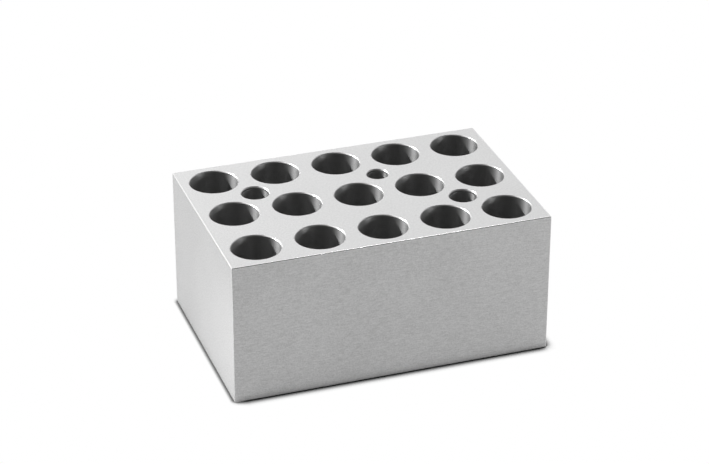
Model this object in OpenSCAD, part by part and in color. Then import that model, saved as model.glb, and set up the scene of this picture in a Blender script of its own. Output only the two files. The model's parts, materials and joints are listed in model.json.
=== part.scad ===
// Heat block insert: a solid aluminium block, drilled from its top face with a
// grid of wells for round tubes and with three smaller holes between the wells.
//
// Millimetres. X runs along the block, Y across it from front to back, Z up.
// The origin is the centre of the base, so the block stands on Z = 0.
//
// The block is as long and as wide as its wells, the webs between them and the
// walls round them need, and it is as deep as its height less the well floor.

/* [Wells] */
// Outside diameter of the tubes that the wells hold
tube_diameter = 16; // [8:0.1:30]
// Play of a tube in its well, on the diameter
tube_clearance = 0.4; // [0.1:0.05:1]
// Wells in each row, along the length
wells_per_row = 5; // [4:1:8]
// Rows of wells, across the width
well_rows = 3; // [2:1:6]
// Width of the edge break at the mouth of a well
well_mouth_break = 0.3; // [0.1:0.05:0.8]

/* [Block] */
// Height of the block
block_height = 50; // [35:0.5:90]
// Metal left under the lowest point of a well
well_floor = 4; // [2:0.5:10]
// Metal between two neighbouring wells of a row
web_in_row = 5.35; // [2:0.05:15]
// Metal between two neighbouring rows
web_between_rows = 8; // [4:0.05:20]
// Metal outside the last well at each end
end_wall = 3.3; // [1.5:0.05:15]
// Metal outside the front and the back row
side_wall = 3; // [1.5:0.05:15]

/* [Probe holes] */
// Bore of the two probe holes
probe_bore = 8.5; // [4:0.1:10]
// Depth of a probe hole down to its drill point
probe_depth = 25; // [8:0.5:28]
// Width of the countersink at the mouth of a probe hole
probe_countersink = 0.7; // [0.1:0.05:1]

/* [Thermometer hole] */
// Bore of the thermometer hole
thermometer_bore = 6.5; // [3:0.1:10]
// Width of the countersink at the mouth of the thermometer hole
thermometer_countersink = 0.7; // [0.1:0.05:1]

/* [Tools] */
// Angle of the drills' points
drill_point_angle = 118; // [90:1:150]

/* [Edges] */
// Width of the break along the top edges
top_break = 0.4; // [0.1:0.05:1]
// Width of the break along the four upright edges
upright_break = 0.4; // [0.1:0.05:2]
// Width of the break along the base edges
base_break = 0.2; // [0.1:0.05:3]

/* [Hidden] */

$fn = 96;
// How far a cutting shape stands out of the face that it cuts
overshoot = 1;

well_bore = tube_diameter + tube_clearance;
pitch_in_row = well_bore + web_in_row;
pitch_between_rows = well_bore + web_between_rows;

block_length = (wells_per_row - 1) * pitch_in_row + well_bore + 2 * end_wall;
block_width = (well_rows - 1) * pitch_between_rows + well_bore + 2 * side_wall;

// Depth of a well or of the thermometer hole down to its drill point: the
// points of both end on the same floor.
function point_height(bore) = bore / 2 / tan(drill_point_angle / 2);
function depth_to_floor(bore) = block_height - well_floor - point_height(bore);

// Places on the grid of wells: column 0 is at the left end, row 0 in front.
// Half steps are the middles of the squares between four wells.
function grid_x(column) = (column - (wells_per_row - 1) / 2) * pitch_in_row;
function grid_y(row) = (row - (well_rows - 1) / 2) * pitch_between_rows;

last_column = wells_per_row - 1;
last_row = well_rows - 1;
// The probe holes are in two opposite corners of the grid, back left and
// front right, and the thermometer hole is behind and right of the middle.
probe_places = [[0.5, last_row - 0.5], [last_column - 0.5, 0.5]];
thermometer_place = [floor(wells_per_row / 2) + 0.5, last_row - 0.5];

// A rectangle centred on the origin with its four corners cut at 45 degrees
module corner_cut_rectangle(length, width, cut) {
    x = length / 2;
    y = width / 2;
    polygon([
        [-x + cut, -y], [x - cut, -y], [x, -y + cut], [x, y - cut],
        [x - cut, y], [-x + cut, y], [-x, y - cut], [-x, -y + cut]
    ]);
}

// The block's outline from the side, with its four corners cut
module side_outline(length) {
    x = length / 2;
    polygon([
        [-x + base_break, 0], [x - base_break, 0],
        [x, base_break], [x, block_height - top_break],
        [x - top_break, block_height], [-x + top_break, block_height],
        [-x, block_height - top_break], [-x, base_break]
    ]);
}

// The milled block before drilling
module blank() {
    intersection() {
        linear_extrude(block_height)
            corner_cut_rectangle(block_length, block_width, upright_break);
        rotate([90, 0, 0])
            linear_extrude(block_width + 2 * overshoot, center = true)
                side_outline(block_length);
        rotate([90, 0, 90])
            linear_extrude(block_length + 2 * overshoot, center = true)
                side_outline(block_width);
    }
}

// A drilled hole with its mouth on Z = 0: a countersunk mouth, a straight bore
// and the drill's point under it
module drilled_hole(bore, depth, mouth) {
    r = bore / 2;
    rotate_extrude()
        polygon([
            [0, -depth - point_height(bore)], [r, -depth], [r, -mouth],
            [r + mouth, 0], [r + mouth, overshoot], [0, overshoot]
        ]);
}

// Puts its children at a place of the grid, on the top face
module on_grid(place)
    translate([grid_x(place[0]), grid_y(place[1]), block_height])
        children();

module wells() {
    for (row = [0 : last_row], column = [0 : last_column])
        on_grid([column, row])
            drilled_hole(well_bore, depth_to_floor(well_bore), well_mouth_break);
}

module probe_holes() {
    for (place = probe_places)
        on_grid(place)
            drilled_hole(probe_bore, probe_depth, probe_countersink);
}

module thermometer_hole() {
    on_grid(thermometer_place)
        drilled_hole(
            thermometer_bore, depth_to_floor(thermometer_bore), thermometer_countersink
        );
}

module heat_block() {
    color([0.80, 0.80, 0.80])
        difference() {
            blank();
            wells();
            probe_holes();
            thermometer_hole();
        }
}

heat_block();
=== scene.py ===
import json
import math

import bmesh
import bpy
from mathutils import Matrix, Vector

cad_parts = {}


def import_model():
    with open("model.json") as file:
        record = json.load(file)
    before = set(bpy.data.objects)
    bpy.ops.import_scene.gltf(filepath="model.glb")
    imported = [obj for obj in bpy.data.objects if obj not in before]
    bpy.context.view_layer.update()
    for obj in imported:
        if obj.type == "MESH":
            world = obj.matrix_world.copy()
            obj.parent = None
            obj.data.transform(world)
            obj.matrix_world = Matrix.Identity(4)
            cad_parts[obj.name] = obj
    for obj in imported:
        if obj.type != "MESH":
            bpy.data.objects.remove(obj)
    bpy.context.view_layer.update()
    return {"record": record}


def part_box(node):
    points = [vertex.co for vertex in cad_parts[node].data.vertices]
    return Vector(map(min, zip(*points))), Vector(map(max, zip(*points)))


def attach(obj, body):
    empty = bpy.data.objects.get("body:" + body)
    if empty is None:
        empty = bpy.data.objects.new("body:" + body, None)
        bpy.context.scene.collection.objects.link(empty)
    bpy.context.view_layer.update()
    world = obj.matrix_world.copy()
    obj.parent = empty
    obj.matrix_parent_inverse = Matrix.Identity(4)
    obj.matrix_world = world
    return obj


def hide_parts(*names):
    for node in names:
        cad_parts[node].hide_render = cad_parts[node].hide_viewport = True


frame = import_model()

MM = 0.001

# ---------------------------------------------------------------- sizes
# The block's outline and every hole come from the frame. What the frame
# doesn't give, such as the widths of the edge breaks, is named here.
BLOCK_LOW, BLOCK_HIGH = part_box("heat_block")
TOP = BLOCK_HIGH.z

# How wide the broken edges are: the block's, its base's, a well's mouth and a small hole's
EDGE_BREAK = 0.4 * MM
BASE_BREAK = 0.2 * MM
WELL_BREAK = 0.3 * MM
COUNTERSINK = 0.7 * MM

# How far below its rim a mouth turns rougher and is darkened with painted shade
SHADED_DULL_MOUTH_DEPTH = 0.45 * MM

# The drill's point ends in a small flat, this share of the bore's width.
DRILL_POINT_ANGLE = math.radians(118)
DRILL_TIP_SHARE = 0.02

BREAK_SEGMENTS = 3
WELL_SEGMENTS = 128
SMALL_HOLE_SEGMENTS = 72
SHARPEST_SMOOTH_EDGE = math.radians(32)

# How far up a face's normal points: between the first two it is part of the
# top's edge break, and past the last, up or down, the face is a level one.
BREAK_LEAST_UP = 0.1
BREAK_MOST_UP = 0.99
LEVEL = 0.9

# The block's material slots
SIDE, TOP_FACE, BORE, BREAK = range(4)


# ---------------------------------------------------------------- mesh
def block_blank(bm):
    """The milled block: a cube with all its edges broken, the base's less than the others."""
    size = BLOCK_HIGH - BLOCK_LOW
    middle = (BLOCK_HIGH + BLOCK_LOW) / 2
    bmesh.ops.create_cube(bm, size=1.0, matrix=Matrix.Translation(middle) @ Matrix.Diagonal((*size, 1.0)))

    def round_over(edges, width):
        """Breaks these edges to that width, with a round."""
        bmesh.ops.bevel(
            bm, geom=edges, offset=width, offset_type="OFFSET",
            segments=BREAK_SEGMENTS, profile=0.5, affect="EDGES", material=-1,
        )
        bmesh.ops.recalc_face_normals(bm, faces=bm.faces)

    round_over([e for e in bm.edges if any(v.co.z > middle.z for v in e.verts)], EDGE_BREAK)
    round_over([e for e in bm.edges if all(v.co.z < middle.z for v in e.verts)], BASE_BREAK)
    for face in bm.faces:
        if BREAK_LEAST_UP < face.normal.z < BREAK_MOST_UP:
            face.material_index = BREAK
        elif abs(face.normal.z) > LEVEL:
            face.material_index = TOP_FACE
        else:
            face.material_index = SIDE


def drill(bm, uv, centre, radius, depth, mouth, segments):
    """One hole from its rim down: the broken mouth, the bore, the drill's point. Returns the rim.

    Its UV map is in millimetres: the way round the bore, and the height, which is 0 at the rim.
    """
    made = bmesh.ops.create_circle(
        bm, cap_ends=False, radius=radius + mouth, segments=segments, matrix=Matrix.Translation(centre)
    )
    rim = list(dict.fromkeys(e for v in made["verts"] for e in v.link_edges))
    point = radius / math.tan(DRILL_POINT_ANGLE / 2)
    steps = (
        (BREAK, radius, -mouth),
        (BORE, radius, -depth),
        (BORE, radius * DRILL_TIP_SHARE, -depth - point * (1 - DRILL_TIP_SHARE)),
    )
    edges = rim
    for finished, new_radius, height in steps:
        grown = bmesh.ops.extrude_edge_only(bm, edges=edges)["geom"]
        verts = [g for g in grown if isinstance(g, bmesh.types.BMVert)]
        edges = [g for g in grown if isinstance(g, bmesh.types.BMEdge) and all(v in verts for v in g.verts)]
        share = new_radius / (verts[0].co - centre).xy.length
        bmesh.ops.scale(bm, vec=(share, share, 1), space=Matrix.Translation(-centre), verts=verts)
        bmesh.ops.translate(bm, vec=(0, 0, centre.z + height - verts[0].co.z), verts=verts)
        for face in (g for g in grown if isinstance(g, bmesh.types.BMFace)):
            face.material_index = finished
            out = face.calc_center_median() - centre
            around = math.atan2(out.y, out.x)
            for loop in face.loops:
                spot = loop.vert.co - centre
                turn = (math.atan2(spot.y, spot.x) - around + math.pi) % math.tau - math.pi
                loop[uv].uv = ((around + turn) * radius / MM, spot.z / MM)
    for face in bmesh.ops.contextual_create(bm, geom=edges)["faces"]:
        face.material_index = BORE
    return rim


def drilled_block():
    """The blank with a hole for each bore in the frame, and its top face laid between the rims."""
    bm = bmesh.new()
    uv = bm.loops.layers.uv.new("UVMap")
    block_blank(bm)
    top = max(bm.faces, key=lambda f: f.calc_area() if f.normal.z > BREAK_MOST_UP else 0)
    outline = list(top.edges)
    bmesh.ops.delete(bm, geom=[top], context="FACES_ONLY")
    rims = []
    for mount in frame["record"]["mounts"]:
        if mount["kind"] != "bore":
            continue
        is_well = mount["name"].startswith("well")
        mouth = WELL_BREAK if is_well else COUNTERSINK
        segments = WELL_SEGMENTS if is_well else SMALL_HOLE_SEGMENTS
        x, y, _ = mount["pos_m"]
        radius = mount["dims"]["r_mm"] * MM
        depth = mount["dims"]["length_mm"] * MM + mouth
        rims += drill(bm, uv, Vector((x, y, TOP)), radius, depth, mouth, segments)
    filled = bmesh.ops.triangle_fill(
        bm, use_beauty=True, use_dissolve=False, edges=outline + rims, normal=(0, 0, 1)
    )
    for face in filled["geom"]:
        if isinstance(face, bmesh.types.BMFace):
            face.material_index = TOP_FACE
    bmesh.ops.recalc_face_normals(bm, faces=bm.faces)
    mesh = bpy.data.meshes.new("milled_block")
    bm.to_mesh(mesh)
    bm.free()
    return mesh


def heat_block():
    """The finished piece: smooth along its rounds, flat on its faces, in four finishes of aluminium."""
    mesh = drilled_block()
    mesh.shade_smooth()
    mesh.set_sharp_from_angle(angle=SHARPEST_SMOOTH_EDGE)
    for finished in aluminium_finishes():
        mesh.materials.append(finished)
    block = bpy.data.objects.new("milled_block", mesh)
    bpy.context.scene.collection.objects.link(block)
    weighted = block.modifiers.new("flat_faces", "WEIGHTED_NORMAL")
    weighted.keep_sharp = True
    return block


# ---------------------------------------------------------------- materials
def ramp(tree, value, span, result, smooth=False):
    """A node that carries a value from one span to another, and no further than its ends."""
    node = tree.nodes.new("ShaderNodeMapRange")
    if smooth:
        node.interpolation_type = "SMOOTHSTEP"
    tree.links.new(value, node.inputs["Value"])
    for socket, end in zip(("From Min", "From Max", "To Min", "To Max"), (*span, *result)):
        node.inputs[socket].default_value = end
    return node


def grain_group():
    """The grain that every finish shares: streaks, speckle and slow clouding, as a shade and a height.

    Place is in millimetres, Stretched is the same place drawn out along the tool marks.
    Shade lies around 0.5, and Height is the streaks and the speckle only.
    """
    middle = 0.5
    group = bpy.data.node_groups.new("metal_grain", "ShaderNodeTree")
    for name in ("Place", "Stretched"):
        group.interface.new_socket(name, in_out="INPUT", socket_type="NodeSocketVector")
    for name in ("Streaks", "Speckle", "Speckle Size", "Clouds"):
        group.interface.new_socket(name, in_out="INPUT", socket_type="NodeSocketFloat")
    for name in ("Shade", "Height"):
        group.interface.new_socket(name, in_out="OUTPUT", socket_type="NodeSocketFloat")
    nodes, links = group.nodes, group.links
    given = nodes.new("NodeGroupInput")
    made = nodes.new("NodeGroupOutput")

    def noise(place, scale, detail, roughness):
        """Noise at one of the group's places. Its scale is a number or one of the group's inputs."""
        node = nodes.new("ShaderNodeTexNoise")
        node.inputs["Detail"].default_value = detail
        node.inputs["Roughness"].default_value = roughness
        links.new(given.outputs[place], node.inputs["Vector"])
        if isinstance(scale, str):
            links.new(given.outputs[scale], node.inputs["Scale"])
        else:
            node.inputs["Scale"].default_value = scale
        return node.outputs["Fac"]

    def part(fac, weight, onto=None):
        """onto + weight * (fac - middle), where onto starts as the middle."""
        centred = nodes.new("ShaderNodeMath")
        centred.operation = "SUBTRACT"
        centred.inputs[1].default_value = middle
        links.new(fac, centred.inputs[0])
        scaled = nodes.new("ShaderNodeMath")
        scaled.operation = "MULTIPLY_ADD"
        links.new(centred.outputs[0], scaled.inputs[0])
        links.new(given.outputs[weight], scaled.inputs[1])
        if onto is None:
            scaled.inputs[2].default_value = middle
        else:
            links.new(onto, scaled.inputs[2])
        return scaled.outputs[0]

    height = part(noise("Stretched", scale=1.0, detail=3.0, roughness=0.6), "Streaks")
    height = part(noise("Place", scale="Speckle Size", detail=2.0, roughness=0.6), "Speckle", height)
    shade = part(noise("Place", scale=0.05, detail=2.0, roughness=0.5), "Clouds", height)
    links.new(height, made.inputs["Height"])
    links.new(shade, made.inputs["Shade"])
    return group


def finish(name, grain, place, stretch, amounts, greys, roughs, metallic, bump):
    """One finish of the aluminium: its grain sets the colour, the roughness and a fine bump.

    place is the coordinate output that it reads, stretch the scale along each axis, per mm, and bump the
    height of the relief in mm. greys and roughs run from the grain's darkest shade to its lightest.
    """
    material = bpy.data.materials.new(name)
    material.use_nodes = True
    tree = material.node_tree
    nodes, links = tree.nodes, tree.links
    shader = nodes["Principled BSDF"]
    shader.inputs["Metallic"].default_value = metallic
    where = nodes.new("ShaderNodeTexCoord")
    plain = nodes.new("ShaderNodeMapping")
    drawn = nodes.new("ShaderNodeMapping")
    to_mm = 1.0 if place == "UV" else 1.0 / MM
    plain.inputs["Scale"].default_value = (to_mm, to_mm, to_mm)
    drawn.inputs["Scale"].default_value = tuple(to_mm * s for s in stretch)
    marks = nodes.new("ShaderNodeGroup")
    marks.node_tree = grain
    for mapping, socket in ((plain, "Place"), (drawn, "Stretched")):
        links.new(where.outputs[place], mapping.inputs["Vector"])
        links.new(mapping.outputs["Vector"], marks.inputs[socket])
    for socket, amount in amounts.items():
        marks.inputs[socket].default_value = amount

    for socket, ends in (("Base Color", greys), ("Roughness", roughs)):
        spread = ramp(tree, marks.outputs["Shade"], (0.0, 1.0), ends)
        links.new(spread.outputs["Result"], shader.inputs[socket])
    relief = nodes.new("ShaderNodeBump")
    relief.inputs["Strength"].default_value = 1.0
    relief.inputs["Distance"].default_value = bump * MM
    links.new(marks.outputs["Height"], relief.inputs["Height"])
    links.new(relief.outputs["Normal"], shader.inputs["Normal"])
    return material


def brushed_sides(grain):
    """Fine streaks along the sides."""
    return finish(
        "brushed_sides", grain, "Object", stretch=(0.35, 2.0, 2.6),
        amounts={"Streaks": 1.4, "Speckle": 1.6, "Speckle Size": 2.4, "Clouds": 0.3},
        greys=(0.52, 0.73), roughs=(0.55, 0.45), metallic=0.5, bump=0.004,
    )


def milled_top(grain):
    """An even, fine speckle with no direction."""
    return finish(
        "milled_top", grain, "Object", stretch=(0.9, 0.9, 0.9),
        amounts={"Streaks": 0.5, "Speckle": 1.5, "Speckle Size": 2.0, "Clouds": 0.2},
        greys=(0.58, 0.78), roughs=(0.55, 0.45), metallic=0.5, bump=0.004,
    )


def reamed_bores(grain):
    """Marks that run round the bore, with the drawn-out shine that they give. Their grey is darker than the
    outer faces' grey, as painted shade inside the holes.
    """
    # Painted shade: the bores' greys are set below the outer faces' greys.
    bored = finish(
        "reamed_bores", grain, "UV", stretch=(0.15, 5.0, 1.0),
        amounts={"Streaks": 1.0, "Speckle": 0.3, "Speckle Size": 3.0, "Clouds": 0.2},
        greys=(0.30, 0.42), roughs=(0.62, 0.58), metallic=1.0, bump=0.003,
    )
    nodes = bored.node_tree.nodes
    shader = nodes["Principled BSDF"]
    shader.inputs["Anisotropic"].default_value = 0.8
    shader.inputs["Anisotropic Rotation"].default_value = 0.25
    around = nodes.new("ShaderNodeTangent")
    around.direction_type = "UV_MAP"
    around.uv_map = "UVMap"
    bored.node_tree.links.new(around.outputs["Tangent"], shader.inputs["Tangent"])
    return bored


def cut_edges(grain):
    """Bright cuts. In the mouths they turn rougher inside, and their colour is darkened there with painted
    shade that brightens towards the rim.
    """
    broken = finish(
        "cut_edges", grain, "Object", stretch=(0.5, 0.5, 0.5),
        amounts={"Streaks": 0.5, "Speckle": 0.8, "Speckle Size": 2.0, "Clouds": 0.2},
        greys=(0.80, 0.90), roughs=(0.26, 0.18), metallic=1.0, bump=0.003,
    )
    tree = broken.node_tree
    shader = tree.nodes["Principled BSDF"]
    where = tree.nodes.new("ShaderNodeTexCoord")
    place = tree.nodes.new("ShaderNodeSeparateXYZ")
    tree.links.new(where.outputs["UV"], place.inputs["Vector"])

    def towards_rim(socket, operation, inside, at_rim):
        """The shader's socket, multiplied by or added to a value that changes from inside to the rim."""
        so_far = shader.inputs[socket].links[0].from_socket
        change = ramp(tree, place.outputs["Y"], (-SHADED_DULL_MOUTH_DEPTH / MM, 0.0), (inside, at_rim))
        both = tree.nodes.new("ShaderNodeMath")
        both.operation = operation
        tree.links.new(so_far, both.inputs[0])
        tree.links.new(change.outputs["Result"], both.inputs[1])
        tree.links.new(both.outputs[0], shader.inputs[socket])

    # Painted shade: the colour falls to a tenth inside the mouths. The added roughness below is the real
    # dulling.
    towards_rim("Base Color", "MULTIPLY", inside=0.1, at_rim=1.0)
    towards_rim("Roughness", "ADD", inside=0.4, at_rim=0.0)
    return broken


def aluminium_finishes():
    """The four finishes, in the order of the block's material slots."""
    grain = grain_group()
    return [make(grain) for make in (brushed_sides, milled_top, reamed_bores, cut_edges)]


# ---------------------------------------------------------------- studio
IMAGE_WIDTH = 709
CAMERA_PLACE = Vector((-241.2, -694.9, 430.1)) * MM
CAMERA_AZIMUTH = math.radians(19.03)
CAMERA_ELEVATION = math.radians(28.204)
CAMERA_ROLL = math.radians(0.074)
FOCAL_PIXELS = 2470.0
SENSOR_WIDTH = 36.0

# The floor: how far it goes out from its middle, its own grey, and how white it shows in the metal
FLOOR_REACH = 3.0
FLOOR_GREY = 0.5
FLOOR_IN_METAL = 0.75

# The contact shadow: how far it reaches on the lit left and in front, how light it stays on the left,
# and how open the floor is to the air above it where the shadow is full
LIT_SIDE_REACH = 1.7 * MM
FRONT_REACH = 4.0 * MM
LIT_SIDE_LEAST = 0.16
SHADOW_FULL = 0.54

# The sky: dark behind the camera and white beyond the block, with a soft fade between these two
# values of how far a direction points along the camera's
SKY_BEHIND = 0.1
SKY_BEYOND = 1.0
SKY_FADE = (-0.3, 0.6)


def camera():
    """A long lens from the front left, above the block."""
    data = bpy.data.cameras.new("camera")
    data.sensor_width = SENSOR_WIDTH
    data.lens = FOCAL_PIXELS / IMAGE_WIDTH * SENSOR_WIDTH
    eye = bpy.data.objects.new("camera", data)
    forward = Vector((
        math.sin(CAMERA_AZIMUTH) * math.cos(CAMERA_ELEVATION),
        math.cos(CAMERA_AZIMUTH) * math.cos(CAMERA_ELEVATION),
        -math.sin(CAMERA_ELEVATION),
    ))
    turn = forward.to_track_quat("-Z", "Y").to_matrix().to_4x4()
    eye.matrix_world = Matrix.Translation(CAMERA_PLACE) @ turn @ Matrix.Rotation(CAMERA_ROLL, 4, "Z")
    bpy.context.scene.collection.objects.link(eye)
    bpy.context.scene.camera = eye


def soft_lamp(name, place, target, size, power):
    """A round lamp that shines on the target and isn't seen itself."""
    data = bpy.data.lights.new(name, "AREA")
    data.shape = "DISK"
    data.size = size
    data.energy = power
    lamp = bpy.data.objects.new(name, data)
    lamp.location = place
    lamp.rotation_euler = (target - place).to_track_quat("-Z", "Y").to_euler()
    lamp.visible_camera = False
    bpy.context.scene.collection.objects.link(lamp)


def lamps():
    """A key from behind on the left, two higher up, and two low ones for the left face and the front."""
    middle = Vector((0.0, 0.0, TOP / 2))
    top_middle = Vector((0.0, 0.0, TOP))
    left_face_foot = Vector((BLOCK_LOW.x, -0.030, 0.006))
    soft_lamp("key", Vector((-0.362, 0.280, 0.335)), top_middle, size=0.05, power=2.25)
    soft_lamp("overhead", Vector((0.25, 0.25, 0.75)), top_middle, size=0.1, power=0.4)
    soft_lamp("panel", Vector((-0.484, -0.0464, 0.6352)), top_middle, size=0.35, power=0.4)
    soft_lamp("low_left", Vector((-0.102, -0.032, 0.006)), left_face_foot, size=0.05, power=0.02)
    soft_lamp("low_front", Vector((0.90, -0.80, 0.13)), middle, size=0.3, power=5.6)


def white_floor():
    """White with the contact shadow to the camera and in the metal, and grey to all other light."""
    material = bpy.data.materials.new("white_floor")
    material.use_nodes = True
    tree = material.node_tree
    nodes, links = tree.nodes, tree.links
    nodes.clear()
    out = nodes.new("ShaderNodeOutputMaterial")
    path = nodes.new("ShaderNodeLightPath")
    where = nodes.new("ShaderNodeTexCoord")
    place = nodes.new("ShaderNodeSeparateXYZ")
    links.new(where.outputs["Object"], place.inputs["Vector"])
    left, front = BLOCK_LOW.x, BLOCK_LOW.x + FRONT_REACH
    reach = ramp(tree, place.outputs["X"], (left - LIT_SIDE_REACH, front), (LIT_SIDE_REACH, FRONT_REACH))
    least = ramp(tree, place.outputs["X"], (left, front), (LIT_SIDE_LEAST, 0.0))
    near = nodes.new("ShaderNodeAmbientOcclusion")
    near.samples = 16
    links.new(reach.outputs["Result"], near.inputs["Distance"])

    def shown(white):
        """A white floor of that strength, dark where the block stands close over it."""
        level = ramp(tree, near.outputs["AO"], (SHADOW_FULL, 1.0), (0.0, white), smooth=True)
        links.new(least.outputs["Result"], level.inputs["To Min"])
        glow = nodes.new("ShaderNodeEmission")
        links.new(level.outputs["Result"], glow.inputs["Strength"])
        return glow.outputs[0]

    def choose(test, no, yes):
        """One shader for the rays that pass the test, another for the rest."""
        mix = nodes.new("ShaderNodeMixShader")
        links.new(path.outputs[test], mix.inputs[0])
        links.new(no, mix.inputs[1])
        links.new(yes, mix.inputs[2])
        return mix.outputs[0]

    lit = nodes.new("ShaderNodeBsdfDiffuse")
    lit.inputs["Color"].default_value = (FLOOR_GREY, FLOOR_GREY, FLOOR_GREY, 1)
    reflected = choose("Is Glossy Ray", lit.outputs[0], shown(FLOOR_IN_METAL))
    links.new(choose("Is Camera Ray", reflected, shown(1.0)), out.inputs[0])
    return material


def floor():
    """A wide flat floor."""
    bm = bmesh.new()
    bmesh.ops.create_grid(bm, x_segments=1, y_segments=1, size=FLOOR_REACH)
    mesh = bpy.data.meshes.new("floor")
    bm.to_mesh(mesh)
    bm.free()
    mesh.materials.append(white_floor())
    ground = bpy.data.objects.new("floor", mesh)
    bpy.context.scene.collection.objects.link(ground)


def world():
    """The sky, white to the camera itself."""
    sky = bpy.data.worlds.new("studio")
    sky.use_nodes = True
    bpy.context.scene.world = sky
    tree = sky.node_tree
    nodes, links = tree.nodes, tree.links
    nodes.clear()
    out = nodes.new("ShaderNodeOutputWorld")
    background = nodes.new("ShaderNodeBackground")
    background.inputs["Color"].default_value = (1, 1, 1, 1)
    where = nodes.new("ShaderNodeTexCoord")
    along = nodes.new("ShaderNodeVectorMath")
    along.operation = "DOT_PRODUCT"
    along.inputs[1].default_value = (math.sin(CAMERA_AZIMUTH), math.cos(CAMERA_AZIMUTH), 0)
    links.new(where.outputs["Generated"], along.inputs[0])
    fade = ramp(tree, along.outputs["Value"], SKY_FADE, (SKY_BEHIND, SKY_BEYOND), smooth=True)
    path = nodes.new("ShaderNodeLightPath")
    seen = nodes.new("ShaderNodeMix")
    seen.inputs["B"].default_value = 1.0
    links.new(path.outputs["Is Camera Ray"], seen.inputs["Factor"])
    links.new(fade.outputs["Result"], seen.inputs["A"])
    links.new(seen.outputs["Result"], background.inputs["Strength"])
    links.new(background.outputs[0], out.inputs[0])


camera()
lamps()
floor()
world()
block = heat_block()
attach(block, "root")
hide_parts("heat_block")

bpy.context.scene.view_settings.view_transform = "Standard"
